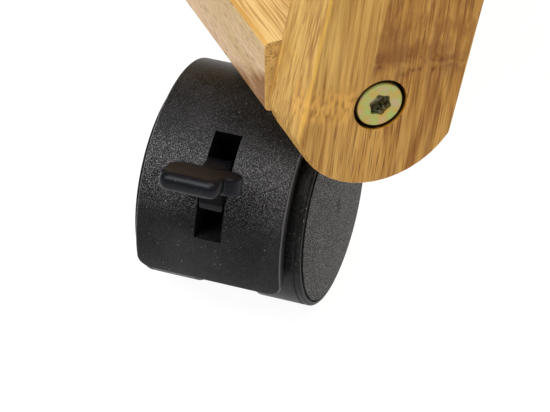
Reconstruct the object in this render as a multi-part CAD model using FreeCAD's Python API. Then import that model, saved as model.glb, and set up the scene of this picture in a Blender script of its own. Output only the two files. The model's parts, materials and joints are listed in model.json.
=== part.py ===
import FreeCAD, Part
import math
import os

from FreeCAD import Vector

# Rolling cart of laminated bamboo with leaning legs, two slatted shelves, a lift-off tray and four
# twin-wheel castors. Millimetres, +Z up. The origin is on the floor under the middle of the cart,
# +X is its right-hand end and -Y its front. Angles are in degrees.

# Frame
frame_length = 560.0             # over the outer faces of the legs
lower_bolt_spread = 460.0        # from the front to the back bolts of the lower rails
middle_rail_rise = 300.0         # from the lower to the middle bolts
upper_rail_rise = 600.0          # from the lower to the upper bolts

leg_lean = 12.0                  # tops lean inward
leg_width = 39.4
leg_thickness = 18.0
leg_middle_shift = 0.6           # from the bolts to the leg's middle line, toward the cart's inside
leg_end_radius = 21.5            # more than half the width, so that corners remain
leg_corner_radius = 2.5
leg_edge_radius = 1.0

rail_width = 42.0
rail_thickness = 18.8
rail_bolt_rise = 7.6             # bolt axis above the rail's underside
rail_edge_radius = 1.5

end_rail_rise = 545.0            # middle of the end rails above the lower bolts
end_rail_height = 40.0
end_rail_edge_radius = 1.4
dowel_diameter = 8.0
dowel_depth = 14.0               # in each of the two pieces that it joins
dowel_spacing = 20.0
dowel_clearance = 0.05
dowel_end_clearance = 0.5

# Bolts and barrel nuts of the long rails
bolt_diameter = 6.0
bolt_hole_clearance = 0.3
bolt_end_clearance = 1.0
bolt_head_diameter = 11.4
bolt_head_height = 4.4
bolt_head_edge = 0.5
bolt_head_recess = 0.3
bolt_head_clearance = 0.9
bolt_hole_rim_radius = 0.3
bolt_past_nut = 2.0
bolt_socket_radius = 2.85
bolt_socket_depth = 3.0
bolt_socket_turn = -20.0         # from a lobe at the side, as the bolts happen to stop
lobe_size_share = 0.29           # of a six-lobe socket's radius
lobe_core_share = 0.86
barrel_setback = 22.0            # nut axis from the rail's end
barrel_diameter = 10.0
barrel_length = 14.0
barrel_clearance = 0.1
thread_clearance = 0.03

# Shelves
slat_width = 34.0
slat_thickness = 10.0
slat_pitch = 46.0
slat_end_margin = 30.0           # least distance from the legs to the first slat
slat_setback = 16.0              # slat ends from the rails' outer faces
slat_edge_radius = 1.5

# Countersunk screws of the slats and of the tray
screw_head_diameter = 6.4
screw_head_height = 2.0
screw_head_sink = 0.3
screw_shank_diameter = 3.0
screw_length = 21.0
screw_clearance = 0.05
screw_end_clearance = 0.5
screw_socket_radius = 1.3
screw_socket_depth = 1.0

# Lift-off tray
tray_width = 300.0
tray_end_gap = 4.0               # to the legs at each end
tray_wall = 12.0
tray_side_height = 40.0
tray_end_height = 62.0
tray_base_thickness = 6.0
tray_rabbet_depth = 6.0          # under the walls, for the bottom board's rebated edge
tray_rabbet_height = 3.0
tray_base_clearance = 0.1
tray_edge_radius = 1.5
tray_grip_top_width = 140.0
tray_grip_foot_width = 190.0
tray_grip_radius = 14.0
tray_handle_length = 90.0
tray_handle_height = 24.0
tray_handle_margin = 12.0        # wood left above the hand hole
tray_screw_spacing = 20.0
cleat_length = 300.0
cleat_width = 15.0
cleat_height = 12.0
cleat_clearance = 1.0            # sideways play of the tray between the upper rails

# Castors
wheel_radius = 25.0
wheel_edge_radius = 0.8
wheel_inner_gap = 0.8            # from the castor's web to each wheel, with the wheels centred
wheel_end_play = 0.5             # both wheels rest this far to the castor's right
tread_overhang = 1.05            # tread past the hood's rim
ring_groove_width = 0.5
ring_groove_depth = 0.25
ring_groove_edge_radius = 0.2
ring_width = 1.25
ring_thickness = 1.1             # radial size of the outer ring round the cap
ring_edge_radius = 0.8
cap_gap = 0.42                   # groove between the ring and the cap
cap_seat_depth = 0.8
cap_stand = 0.3                  # the cap's edge stands this far past the ring
cap_dome = 0.7
cap_edge_radius = 0.25
axle_diameter = 6.0
axle_fit = 0.02
running_fit = 0.05
axle_end_clearance = 0.4
castor_trail = 20.0              # swivel axis to axle
castor_inset = 41.6              # swivel axis from the leg's inner face

hood_radius = 30.0
hood_wall = 2.7
hood_width = 37.4
hood_front_angle = -15.2         # from level, towards the front of the castor
hood_rear_angle = 190.0
hood_corner_radius = 3.6
hood_rim_radius = 0.8
web_thickness = 14.0
axle_boss_radius = 8.0
neck_diameter = 18.0
neck_height = 7.4                # above the top of the hood
neck_edge_radius = 1.0
neck_foot_rise = 5.0             # the neck's foot above the axle, outside the hood
stem_diameter = 8.0
stem_bottom_rise = 2.5           # stem's end above the axle
stem_end_clearance = 0.5
stem_thread_length = 13.0
collar_across_flats = 13.0
collar_height = 4.0
collar_gap = 0.4
socket_diameter = 12.0
socket_depth = 14.0
socket_clearance = 0.05
socket_flange_diameter = 20.0
socket_flange_thickness = 1.2
socket_end_clearance = 0.6

# Brake lever and its slot. Angles are measured about the axle, up from level at the castor's front.
slot_width = 6.9
slot_low_angle = 10.4
slot_high_angle = 62.2
lever_side_clearance = 0.35
lever_hub_radius = 5.8
lever_hub_clearance = 0.4
lever_low_angle = 24.8
lever_high_angle = 49.5
lever_tilt = 18.6                # of the thumb plate
lever_plate_reach = 28.0         # plate's back edge in front of the axle
lever_plate_height = 26.5        # plate's top at that edge, above the axle
lever_plate_thickness = 3.8
lever_wing_thickness = 4.6
lever_wing_depth = 5.8
lever_wing_width = 18.2
lever_wing_radius = 2.8
lever_wing_shift = 0.7           # the wings sit this far to the castor's right
lever_plate_depth = 11.0
lever_plate_width = 15.2
lever_plate_shift = -1.1         # and the plate and its lip to its left
lever_lip_depth = 5.0
lever_lip_height = 4.8
lever_lip_radius = 2.2
lever_web_sag = 2.6              # depth of the hollow in the lever's lower edge

# One entry per castor: name, side along X, side along Y, swivel angle at rest, brake
castors = [
    ("front_right_castor", 1, -1, 46.9, True),
    ("front_left_castor", -1, -1, -18.0, False),
    ("back_right_castor", 1, 1, 162.0, False),
    ("back_left_castor", -1, 1, 226.9, True),
]

cut_overrun = 2.0

X_AXIS = Vector(1, 0, 0)
Y_AXIS = Vector(0, 1, 0)
Z_AXIS = Vector(0, 0, 1)

# Heights stack up from the floor through the castor to the lower rail
hood_top = wheel_radius + hood_radius
neck_top = hood_top + neck_height
rail_underside = neck_top + collar_gap + collar_height + socket_flange_thickness
lower_bolt_height = rail_underside + rail_bolt_rise

lean_slope = math.tan(math.radians(leg_lean))
rail_length = frame_length - 2 * leg_thickness
bolt_rises = {"lower": 0.0, "middle": middle_rail_rise, "upper": upper_rail_rise}
bolt_grip = leg_thickness - bolt_head_recess - bolt_head_height
bolt_shank_length = bolt_grip + barrel_setback + barrel_diameter / 2 + bolt_past_nut
tray_underside = lower_bolt_height + upper_rail_rise - rail_bolt_rise + rail_thickness


def bolt_offset(rise):
    """Distance of the bolt axes from the cart's middle plane at a rise above the lower bolts."""
    return lower_bolt_spread / 2 - rise * lean_slope


def block(low, high):
    size = high.sub(low)
    return Part.makeBox(size.x, size.y, size.z, low)


def rod(diameter, start, direction, length):
    return Part.makeCylinder(diameter / 2, length, start, direction)


def prism(corners, depth):
    outline = Part.makePolygon(corners + corners[:1])
    return Part.Face(outline).extrude(depth)


def edges_along(shape, direction):
    found = []
    for edge in shape.Edges:
        if isinstance(edge.Curve, Part.Line) and edge.Curve.Direction.cross(direction).Length < 1e-6:
            found.append(edge)
    return found


def lying_at(edges, axis, place):
    """The edges that lie in the plane at a place along an axis."""
    found = []
    for edge in edges:
        box = edge.BoundBox
        low, high = {"x": (box.XMin, box.XMax), "y": (box.YMin, box.YMax), "z": (box.ZMin, box.ZMax)}[axis]
        if abs(low - place) < 1e-5 and abs(high - place) < 1e-5:
            found.append(edge)
    return found


def moved(shape, offset):
    copy = shape.copy()
    copy.translate(offset)
    return copy


def turned(shape, centre, axis, angle):
    copy = shape.copy()
    copy.rotate(centre, axis, angle)
    return copy


def six_lobe(radius, depth):
    """Cutter for a six-lobe socket that opens at the origin and runs along -X."""
    lobe_radius = radius * lobe_size_share
    top = Vector(cut_overrun, 0, 0)
    cutter = Part.makeCylinder(radius * lobe_core_share, depth + cut_overrun, top, -X_AXIS)
    for index in range(6):
        angle = math.radians(60 * index)
        reach = radius - lobe_radius
        centre = top + Vector(0, reach * math.cos(angle), reach * math.sin(angle))
        cutter = cutter.fuse(Part.makeCylinder(lobe_radius, depth + cut_overrun, centre, -X_AXIS))
    return cutter


# Frame pieces

def leg_blank(middle):
    """Leg still upright, outer face in the plane x = 0, lower bolt on the X axis, middle line at y = middle."""
    left = middle - leg_width / 2
    right = middle + leg_width / 2
    bolt_distance = upper_rail_rise / math.cos(math.radians(leg_lean))
    low = -math.sqrt(leg_end_radius ** 2 - (leg_width / 2) ** 2)
    high = bolt_distance - low
    foot = Vector(0, middle, -leg_end_radius)
    head = Vector(0, middle, bolt_distance + leg_end_radius)
    edges = [
        Part.makeLine(Vector(0, left, low), Vector(0, left, high)),
        Part.Arc(Vector(0, left, high), head, Vector(0, right, high)).toShape(),
        Part.makeLine(Vector(0, right, high), Vector(0, right, low)),
        Part.Arc(Vector(0, right, low), foot, Vector(0, left, low)).toShape(),
    ]
    leg = Part.Face(Part.Wire(edges)).extrude(Vector(-leg_thickness, 0, 0))
    leg = leg.makeFillet(leg_corner_radius, edges_along(leg, X_AXIS))
    rims = lying_at(leg.Edges, "x", 0.0) + lying_at(leg.Edges, "x", -leg_thickness)
    leg = leg.makeFillet(leg_edge_radius, rims)
    head_hole_diameter = bolt_head_diameter + 2 * bolt_head_clearance
    for rise in bolt_rises.values():
        place = Vector(cut_overrun, 0, rise / math.cos(math.radians(leg_lean)))
        sink = bolt_head_recess + bolt_head_height + cut_overrun
        leg = leg.cut(rod(head_hole_diameter, place, -X_AXIS, sink))
        through = leg_thickness + 2 * cut_overrun
        leg = leg.cut(rod(bolt_diameter + 2 * bolt_hole_clearance, place, -X_AXIS, through))
    return leg.makeFillet(bolt_hole_rim_radius, circles_at(leg, 0.0, head_hole_diameter / 2))


def inner_edge_offset(rise):
    """From the middle of the cart to a leg's inner edge, at a height above the lower bolts."""
    return bolt_offset(rise) - (leg_width / 2 + leg_middle_shift) / math.cos(math.radians(leg_lean))


def dowel_places(side_y):
    """Middles of the dowels where the end rail meets the leg on one side, at x = 0."""
    places = []
    for step in (-1, 1):
        rise = end_rail_rise + step * dowel_spacing / 2
        places.append(Vector(0, side_y * inner_edge_offset(rise), lower_bolt_height + rise))
    return places


def dowel_hole(middle):
    reach = dowel_depth + dowel_end_clearance
    start = middle - Y_AXIS * reach
    return rod(dowel_diameter + 2 * dowel_clearance, start, Y_AXIS, 2 * reach)


def end_middle_x(side_x):
    return side_x * (frame_length - leg_thickness) / 2


def leg(side_x, side_y):
    piece = leg_blank(-side_x * side_y * leg_middle_shift)
    if side_x < 0:
        piece = turned(piece, Vector(0, 0, 0), Z_AXIS, 180)
    piece = turned(piece, Vector(0, 0, 0), X_AXIS, side_y * leg_lean)
    place = Vector(side_x * frame_length / 2, side_y * lower_bolt_spread / 2, lower_bolt_height)
    piece = moved(piece, place)
    for middle in dowel_places(side_y):
        piece = piece.cut(moved(dowel_hole(middle), X_AXIS * end_middle_x(side_x)))
    return piece


def long_rail(level, side_y):
    rise = bolt_rises[level]
    middle_y = side_y * bolt_offset(rise)
    bolt_z = lower_bolt_height + rise
    underside = bolt_z - rail_bolt_rise
    low = Vector(-rail_length / 2, middle_y - rail_width / 2, underside)
    rail = block(low, low + Vector(rail_length, rail_width, rail_thickness))
    rail = rail.makeFillet(rail_edge_radius, edges_along(rail, X_AXIS))
    bolt_reach = bolt_shank_length - bolt_grip + bolt_end_clearance
    nut_hole_length = rail_bolt_rise + barrel_length / 2 + barrel_clearance
    for side_x in (-1, 1):
        end = Vector(side_x * (rail_length / 2 + cut_overrun), middle_y, bolt_z)
        hole = rod(bolt_diameter + 2 * bolt_hole_clearance, end, X_AXIS * -side_x, bolt_reach + cut_overrun)
        nut_foot = Vector(side_x * (rail_length / 2 - barrel_setback), middle_y, underside - cut_overrun)
        nut_hole = rod(barrel_diameter + 2 * barrel_clearance, nut_foot, Z_AXIS, nut_hole_length + cut_overrun)
        rail = rail.cut(hole).cut(nut_hole)
        if level == "lower":
            foot = Vector(castor_x(side_x), middle_y, underside - cut_overrun)
            depth = socket_depth + socket_end_clearance + cut_overrun
            rail = rail.cut(rod(socket_diameter + 2 * socket_clearance, foot, Z_AXIS, depth))
    if level != "upper":
        for place in slat_screw_places(level, side_y):
            rail = rail.cut(screw_hole(place))
    return rail


def end_rail(side_x):
    """Board between the two legs of one end, its ends cut to their lean."""
    low_rise = end_rail_rise - end_rail_height / 2
    high_rise = end_rail_rise + end_rail_height / 2
    low_half = inner_edge_offset(low_rise)
    high_half = inner_edge_offset(high_rise)
    low_z = lower_bolt_height + low_rise
    high_z = lower_bolt_height + high_rise
    inner = end_middle_x(side_x) - leg_thickness / 2
    corners = [
        Vector(inner, -low_half, low_z),
        Vector(inner, low_half, low_z),
        Vector(inner, high_half, high_z),
        Vector(inner, -high_half, high_z),
    ]
    rail = prism(corners, Vector(leg_thickness, 0, 0))
    rail = rail.makeFillet(end_rail_edge_radius, edges_along(rail, Y_AXIS))
    for side_y in (-1, 1):
        for middle in dowel_places(side_y):
            rail = rail.cut(moved(dowel_hole(middle), X_AXIS * end_middle_x(side_x)))
    return rail


def end_rail_dowels():
    dowels = []
    for side_x in (-1, 1):
        for side_y in (-1, 1):
            for middle in dowel_places(side_y):
                start = middle + X_AXIS * end_middle_x(side_x) - Y_AXIS * dowel_depth
                dowels.append(rod(dowel_diameter, start, Y_AXIS, 2 * dowel_depth))
    return dowels


def frame_bolt():
    """Bolt with the top of its head at x = 0 and its shank along -X."""
    head = rod(bolt_head_diameter, Vector(0, 0, 0), -X_AXIS, bolt_head_height)
    head = head.makeFillet(bolt_head_edge, lying_at(head.Edges, "x", 0.0))
    shank = rod(bolt_diameter, Vector(-bolt_head_height, 0, 0), -X_AXIS, bolt_shank_length)
    bolt = head.fuse(shank).removeSplitter()
    socket = turned(six_lobe(bolt_socket_radius, bolt_socket_depth), Vector(0, 0, 0), X_AXIS, bolt_socket_turn)
    return bolt.cut(socket)


def barrel_nut():
    """Cross dowel on the Z axis with its thread along X."""
    nut = rod(barrel_diameter, Vector(0, 0, -barrel_length / 2), Z_AXIS, barrel_length)
    start = Vector(-barrel_diameter / 2 - cut_overrun, 0, 0)
    length = barrel_diameter + 2 * cut_overrun
    return nut.cut(rod(bolt_diameter + 2 * thread_clearance, start, X_AXIS, length))


def at_each_bolt(piece, distance_in):
    """Copies of a piece at the twelve bolt axes, a distance in from the legs' outer faces."""
    copies = []
    for rise in bolt_rises.values():
        for side_y in (-1, 1):
            for side_x in (-1, 1):
                copy = piece.copy()
                if side_x < 0:
                    copy = turned(copy, Vector(0, 0, 0), Z_AXIS, 180)
                place_x = side_x * (frame_length / 2 - distance_in)
                place = Vector(place_x, side_y * bolt_offset(rise), lower_bolt_height + rise)
                copies.append(moved(copy, place))
    return copies


# Shelves

def slat_middles():
    room = rail_length - 2 * slat_end_margin - slat_width
    count = int(room // slat_pitch) + 1
    first = -(count - 1) * slat_pitch / 2
    return [first + index * slat_pitch for index in range(count)]


def shelf_height(level):
    """Top of the rails that carry a shelf."""
    return lower_bolt_height + bolt_rises[level] - rail_bolt_rise + rail_thickness


def slat_half_length(level):
    return bolt_offset(bolt_rises[level]) + rail_width / 2 - slat_setback


def slat_screw_places(level, side_y):
    """Points on the slats' upper faces over the middle of what lies on one rail."""
    seat = rail_width - slat_setback
    place_y = side_y * (slat_half_length(level) - seat / 2)
    top = shelf_height(level) + slat_thickness
    return [Vector(middle, place_y, top) for middle in slat_middles()]


def screw():
    """Countersunk screw with its head's top at z = 0, pointing down."""
    head = Part.makeCone(
        screw_shank_diameter / 2, screw_head_diameter / 2, screw_head_height, Vector(0, 0, -screw_head_height)
    )
    shank = rod(screw_shank_diameter, Vector(0, 0, -screw_length), Z_AXIS, screw_length - screw_head_height)
    socket = turned(six_lobe(screw_socket_radius, screw_socket_depth), Vector(0, 0, 0), Y_AXIS, -90)
    return head.fuse(shank).removeSplitter().cut(socket)


def screw_hole(place):
    """Cutter for a screw whose hole opens upward at a point of a surface."""
    head_top = place - Z_AXIS * screw_head_sink
    widen = 2 * screw_clearance
    cone = Part.makeCone(
        (screw_shank_diameter + widen) / 2,
        (screw_head_diameter + widen) / 2,
        screw_head_height,
        head_top - Z_AXIS * screw_head_height,
    )
    mouth = rod(screw_head_diameter + widen, head_top, Z_AXIS, screw_head_sink + cut_overrun)
    depth = screw_length + screw_end_clearance
    shank = rod(screw_shank_diameter + widen, head_top - Z_AXIS * depth, Z_AXIS, depth)
    return cone.fuse(mouth).fuse(shank)


def shelf_slats(level):
    half = slat_half_length(level)
    foot = shelf_height(level)
    slats = []
    for middle in slat_middles():
        low = Vector(middle - slat_width / 2, -half, foot)
        slat = block(low, low + Vector(slat_width, 2 * half, slat_thickness))
        slat = slat.makeFillet(slat_edge_radius, edges_along(slat, Y_AXIS))
        for side_y in (-1, 1):
            for place in slat_screw_places(level, side_y):
                if abs(place.x - middle) < slat_width / 2:
                    slat = slat.cut(screw_hole(place))
        slats.append(slat)
    return slats


def shelf_screws(level):
    screws = []
    for side_y in (-1, 1):
        for place in slat_screw_places(level, side_y):
            screws.append(moved(screw(), place - Z_AXIS * screw_head_sink))
    return screws


# Tray

tray_length = rail_length - 2 * tray_end_gap
tray_floor = tray_underside + tray_base_thickness


def tray_slab(past_walls, low_z, high_z):
    """Slab that reaches a distance past the walls' inner faces on all four sides."""
    half_x = tray_length / 2 - tray_wall + past_walls
    half_y = tray_width / 2 - tray_wall + past_walls
    return block(Vector(-half_x, -half_y, low_z), Vector(half_x, half_y, high_z))


def tray_rabbet():
    """The space of the bottom board's rebated edge with its clearance, cut from all four walls."""
    return tray_slab(tray_rabbet_depth, tray_underside - cut_overrun, tray_underside + tray_rabbet_height)


def tray_base():
    """Bottom board whose edge is rebated, so that its floor fills the space between the walls."""
    edge = tray_slab(
        tray_rabbet_depth - tray_base_clearance, tray_underside, tray_underside + tray_rabbet_height
    )
    field = tray_slab(-tray_base_clearance, tray_underside, tray_floor)
    return edge.fuse(field).removeSplitter()


def tray_screw_places():
    """Points on the outer face of the front wall, at x and z, over the edges of the end walls."""
    places = []
    for side_x in (-1, 1):
        for step in (-1, 1):
            place_x = side_x * (tray_length / 2 - tray_wall / 2)
            place_z = tray_underside + tray_side_height / 2 + step * tray_screw_spacing / 2
            places.append(Vector(place_x, 0, place_z))
    return places


def tray_screw_turned(shape, side_y):
    """Turns a piece made for an upward face to the front or the back wall's outer face."""
    return turned(shape, Vector(0, 0, 0), X_AXIS, -90 * side_y)


def tray_side(side_y):
    outer = side_y * tray_width / 2
    inner = outer - side_y * tray_wall
    low = Vector(-tray_length / 2, min(outer, inner), tray_underside)
    wall = block(low, low + Vector(tray_length, tray_wall, tray_side_height))
    top = lying_at(wall.Edges, "z", tray_underside + tray_side_height)
    corners = lying_at(edges_along(wall, Z_AXIS), "y", outer)
    wall = wall.makeFillet(tray_edge_radius, top + corners)
    wall = wall.cut(tray_rabbet())
    for place in tray_screw_places():
        hole = tray_screw_turned(screw_hole(Vector(0, 0, 0)), side_y)
        wall = wall.cut(moved(hole, place + Y_AXIS * outer))
    return wall


def tray_end(side_x):
    """End wall that rises to a grip with a hand hole."""
    half = tray_width / 2 - tray_wall
    outer = side_x * tray_length / 2
    inner = outer - side_x * tray_wall
    low_x = min(outer, inner)
    shoulder = tray_underside + tray_side_height
    crown = tray_underside + tray_end_height
    corners = [
        Vector(low_x, -half, tray_underside),
        Vector(low_x, half, tray_underside),
        Vector(low_x, half, shoulder),
        Vector(low_x, tray_grip_foot_width / 2, shoulder),
        Vector(low_x, tray_grip_top_width / 2, crown),
        Vector(low_x, -tray_grip_top_width / 2, crown),
        Vector(low_x, -tray_grip_foot_width / 2, shoulder),
        Vector(low_x, -half, shoulder),
    ]
    wall = prism(corners, Vector(tray_wall, 0, 0))
    grip_edges = []
    for edge in edges_along(wall, X_AXIS):
        if edge.BoundBox.YMax < half - tray_edge_radius and edge.BoundBox.YMin > tray_edge_radius - half:
            grip_edges.append(edge)
    wall = wall.makeFillet(tray_grip_radius, grip_edges)
    wall = wall.cut(hand_hole(low_x))
    wall = wall.cut(tray_rabbet())
    for side_y in (-1, 1):
        for place in tray_screw_places():
            hole = tray_screw_turned(screw_hole(Vector(0, 0, 0)), side_y)
            wall = wall.cut(moved(hole, place + Y_AXIS * (side_y * tray_width / 2)))
    return wall


def hand_hole(low_x):
    radius = tray_handle_height / 2
    middle_z = tray_underside + tray_end_height - tray_handle_margin - radius
    half = tray_handle_length / 2 - radius
    start_x = low_x - cut_overrun
    through = tray_wall + 2 * cut_overrun
    hole = block(Vector(start_x, -half, middle_z - radius), Vector(start_x + through, half, middle_z + radius))
    for side_y in (-1, 1):
        hole = hole.fuse(rod(tray_handle_height, Vector(start_x, side_y * half, middle_z), X_AXIS, through))
    return hole


def tray_cleats():
    """Battens under the tray that drop between the upper rails."""
    rail_inner = bolt_offset(upper_rail_rise) - rail_width / 2
    cleats = []
    for side_y in (-1, 1):
        middle = side_y * (rail_inner - cleat_clearance - cleat_width / 2)
        low = Vector(-cleat_length / 2, middle - cleat_width / 2, tray_underside - cleat_height)
        cleat = block(low, low + Vector(cleat_length, cleat_width, cleat_height))
        cleat = cleat.makeFillet(tray_edge_radius, lying_at(cleat.Edges, "z", tray_underside - cleat_height))
        cleats.append(cleat)
    return cleats


def tray_screws():
    screws = []
    for side_y in (-1, 1):
        for place in tray_screw_places():
            outer = side_y * (tray_width / 2 - screw_head_sink)
            screws.append(moved(tray_screw_turned(screw(), side_y), place + Y_AXIS * outer))
    return screws


# Castors. Each is made with its swivel axis on the Z axis, its axle along X and its front towards -Y.

axle_point = Vector(0, -castor_trail, wheel_radius)
wheel_inner_x = web_thickness / 2 + wheel_inner_gap
tread_edge_x = hood_width / 2 + tread_overhang
ring_start_x = tread_edge_x + ring_groove_width
wheel_outer_x = ring_start_x + ring_width
cap_seat_x = wheel_outer_x - cap_seat_depth
axle_half_length = cap_seat_x - wheel_end_play - axle_end_clearance
stem_bottom = wheel_radius + stem_bottom_rise


def castor_x(side_x):
    return side_x * (rail_length / 2 - castor_inset)


def round_axle(radius, angle, offset_x):
    """Point at a radius and an angle round the axle, up from level at the castor's front."""
    turn = math.radians(angle)
    return axle_point + Vector(offset_x, -radius * math.cos(turn), radius * math.sin(turn))


def sector(radius, low_angle, high_angle, width):
    """Slice of a disc round the axle between two angles, centred on the castor's middle plane."""
    start_x = -width / 2
    middle_angle = (low_angle + high_angle) / 2
    rim = Part.Arc(
        round_axle(radius, low_angle, start_x),
        round_axle(radius, middle_angle, start_x),
        round_axle(radius, high_angle, start_x),
    ).toShape()
    centre = round_axle(0, 0, start_x)
    out = Part.makeLine(centre, round_axle(radius, low_angle, start_x))
    back = Part.makeLine(round_axle(radius, high_angle, start_x), centre)
    return Part.Face(Part.Wire([out, rim, back])).extrude(Vector(width, 0, 0))


def axle_rod(diameter, width):
    return rod(diameter, axle_point - X_AXIS * (width / 2), X_AXIS, width)


def circles_at(shape, place, radius):
    """Circular edges of a given radius in the plane at x = place."""
    found = []
    for edge in lying_at(shape.Edges, "x", place):
        if isinstance(edge.Curve, Part.Circle) and abs(edge.Curve.Radius - radius) < 1e-6:
            found.append(edge)
    return found


def hood_shell():
    outer = sector(hood_radius, hood_front_angle, hood_rear_angle, hood_width)
    inner_width = hood_width + 2 * cut_overrun
    shell = outer.cut(axle_rod(2 * (hood_radius - hood_wall), inner_width))
    corners = []
    for edge in shell.Edges:
        radial = isinstance(edge.Curve, Part.Line) and edge.Length < hood_wall + hood_rim_radius
        if radial:
            corners.append(edge)
    shell = shell.makeFillet(hood_corner_radius, corners)
    rims = circles_at(shell, -hood_width / 2, hood_radius) + circles_at(shell, hood_width / 2, hood_radius)
    return shell.makeFillet(hood_rim_radius, rims)


def castor_hood(braked):
    """Hood, central web and neck, moulded in one piece."""
    neck_foot = wheel_radius + neck_foot_rise
    neck = rod(neck_diameter, Vector(0, 0, neck_foot), Z_AXIS, neck_top - neck_foot)
    neck = neck.makeFillet(neck_edge_radius, lying_at(neck.Edges, "z", neck_top))
    neck = neck.cut(axle_rod(2 * (hood_radius - hood_wall), neck_diameter + 2 * cut_overrun))
    web_radius = hood_radius - hood_wall / 2
    web = sector(web_radius, hood_front_angle, hood_rear_angle, web_thickness)
    web = web.fuse(axle_rod(2 * axle_boss_radius, web_thickness))
    hood = hood_shell().fuse(neck).fuse(web).removeSplitter()
    bore_foot = stem_bottom - stem_end_clearance
    bore_length = neck_top - bore_foot + cut_overrun
    hood = hood.cut(rod(stem_diameter + 2 * running_fit, Vector(0, 0, bore_foot), Z_AXIS, bore_length))
    hood = hood.cut(axle_rod(axle_diameter + 2 * axle_fit, web_thickness + 2 * cut_overrun))
    if braked:
        slot = sector(hood_radius + cut_overrun, slot_low_angle, slot_high_angle, slot_width)
        hub_room = axle_rod(2 * (lever_hub_radius + lever_hub_clearance), slot_width)
        hood = hood.cut(slot).cut(hub_room)
    return hood


def castor_axle():
    return axle_rod(axle_diameter, 2 * axle_half_length)


def revolved(points, side_x):
    """Solid of revolution round the axle from points of distance along it and radius."""
    corners = []
    for along, radius in points:
        corners.append(axle_point + Vector(side_x * along, 0, radius))
    outline = Part.makePolygon(corners + corners[:1])
    return Part.Face(outline).revolve(axle_point, X_AXIS, 360)


def castor_wheel(side_x):
    """Wheel with its tread, a groove and the outer ring in which the cap sits."""
    bore = axle_diameter / 2 + running_fit
    points = [
        (wheel_inner_x, bore),
        (wheel_inner_x, wheel_radius),
        (tread_edge_x, wheel_radius),
        (tread_edge_x, wheel_radius - ring_groove_depth),
        (ring_start_x, wheel_radius - ring_groove_depth),
        (ring_start_x, wheel_radius),
        (wheel_outer_x, wheel_radius),
        (wheel_outer_x, wheel_radius - ring_thickness),
        (cap_seat_x, wheel_radius - ring_thickness),
        (cap_seat_x, bore),
    ]
    wheel = revolved(points, side_x)
    roundings = (
        (wheel_inner_x, wheel_edge_radius),
        (tread_edge_x, ring_groove_edge_radius),
        (ring_start_x, ring_groove_edge_radius),
        (wheel_outer_x, ring_edge_radius),
    )
    for along, radius in roundings:
        wheel = wheel.makeFillet(radius, circles_at(wheel, side_x * along, wheel_radius))
    return wheel


def castor_cap(side_x):
    """Slightly domed disc that closes the wheel's outer side."""
    radius = wheel_radius - ring_thickness - cap_gap
    edge_x = wheel_outer_x + cap_stand
    crown_x = edge_x + cap_dome
    half_angle = math.atan2(crown_x - edge_x, radius)
    sphere_radius = radius / math.sin(2 * half_angle)
    middle = (radius / 2, math.sqrt(sphere_radius ** 2 - (radius / 2) ** 2) - sphere_radius)

    def at(along, distance):
        return axle_point + Vector(side_x * along, 0, distance)

    edges = [
        Part.makeLine(at(cap_seat_x, 0), at(cap_seat_x, radius)),
        Part.makeLine(at(cap_seat_x, radius), at(edge_x, radius)),
        Part.Arc(at(edge_x, radius), at(crown_x + middle[1], middle[0]), at(crown_x, 0)).toShape(),
        Part.makeLine(at(crown_x, 0), at(cap_seat_x, 0)),
    ]
    cap = Part.Face(Part.Wire(edges)).revolve(axle_point, X_AXIS, 360)
    return cap.makeFillet(cap_edge_radius, circles_at(cap, side_x * edge_x, radius))


def castor_stem():
    """Steel stem: the swivel pin, a hexagon collar and the threaded end in the rail."""
    collar_foot = neck_top + collar_gap
    collar_top = collar_foot + collar_height
    pin = rod(stem_diameter, Vector(0, 0, stem_bottom), Z_AXIS, collar_top - stem_bottom)
    thread_length = socket_flange_thickness + stem_thread_length
    thread = rod(stem_diameter, Vector(0, 0, collar_top), Z_AXIS, thread_length)
    corner = collar_across_flats / 2 / math.cos(math.radians(30))
    corners = []
    for index in range(6):
        angle = math.radians(60 * index)
        corners.append(Vector(corner * math.cos(angle), corner * math.sin(angle), collar_foot))
    collar = prism(corners, Vector(0, 0, collar_height))
    return pin.fuse(thread).fuse(collar).removeSplitter()


def castor_socket():
    """Flanged threaded sleeve in the underside of the lower rail."""
    flange_foot = rail_underside - socket_flange_thickness
    flange = rod(socket_flange_diameter, Vector(0, 0, flange_foot), Z_AXIS, socket_flange_thickness)
    sleeve = rod(socket_diameter, Vector(0, 0, rail_underside), Z_AXIS, socket_depth)
    whole = socket_flange_thickness + socket_depth
    bore_foot = Vector(0, 0, flange_foot - cut_overrun)
    bore = rod(stem_diameter + 2 * thread_clearance, bore_foot, Z_AXIS, whole + 2 * cut_overrun)
    return flange.fuse(sleeve).removeSplitter().cut(bore)


def lever_web():
    """Upright plate of the brake lever, from its hub through the slot to the thumb plate."""
    width = slot_width - 2 * lever_side_clearance
    start_x = -width / 2
    tilt = math.radians(lever_tilt)
    back_top = (lever_plate_reach, lever_plate_height)
    front_reach = lever_plate_depth - lever_lip_depth
    front_top = (back_top[0] + front_reach * math.cos(tilt), back_top[1] + front_reach * math.sin(tilt))
    under = lever_plate_thickness / 2

    def at(place):
        return axle_point + Vector(start_x, -place[0], place[1])

    back = at((back_top[0] + under * math.sin(tilt), back_top[1] - under * math.cos(tilt)))
    front = at((front_top[0] + under * math.sin(tilt), front_top[1] - under * math.cos(tilt)))
    low = round_axle(hood_radius, lever_low_angle, start_x)
    high = round_axle(hood_radius, lever_high_angle, start_x)
    centre = round_axle(0, 0, start_x)
    chord = front.sub(low)
    inward = chord.cross(X_AXIS)
    inward.normalize()
    hollow = (low + front) * 0.5 + inward * lever_web_sag
    edges = [
        Part.makeLine(centre, low),
        Part.Arc(low, hollow, front).toShape(),
        Part.makeLine(front, back),
        Part.makeLine(back, high),
        Part.makeLine(high, centre),
    ]
    web = Part.Face(Part.Wire(edges)).extrude(Vector(width, 0, 0))
    return web.fuse(axle_rod(2 * lever_hub_radius, width))


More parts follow.
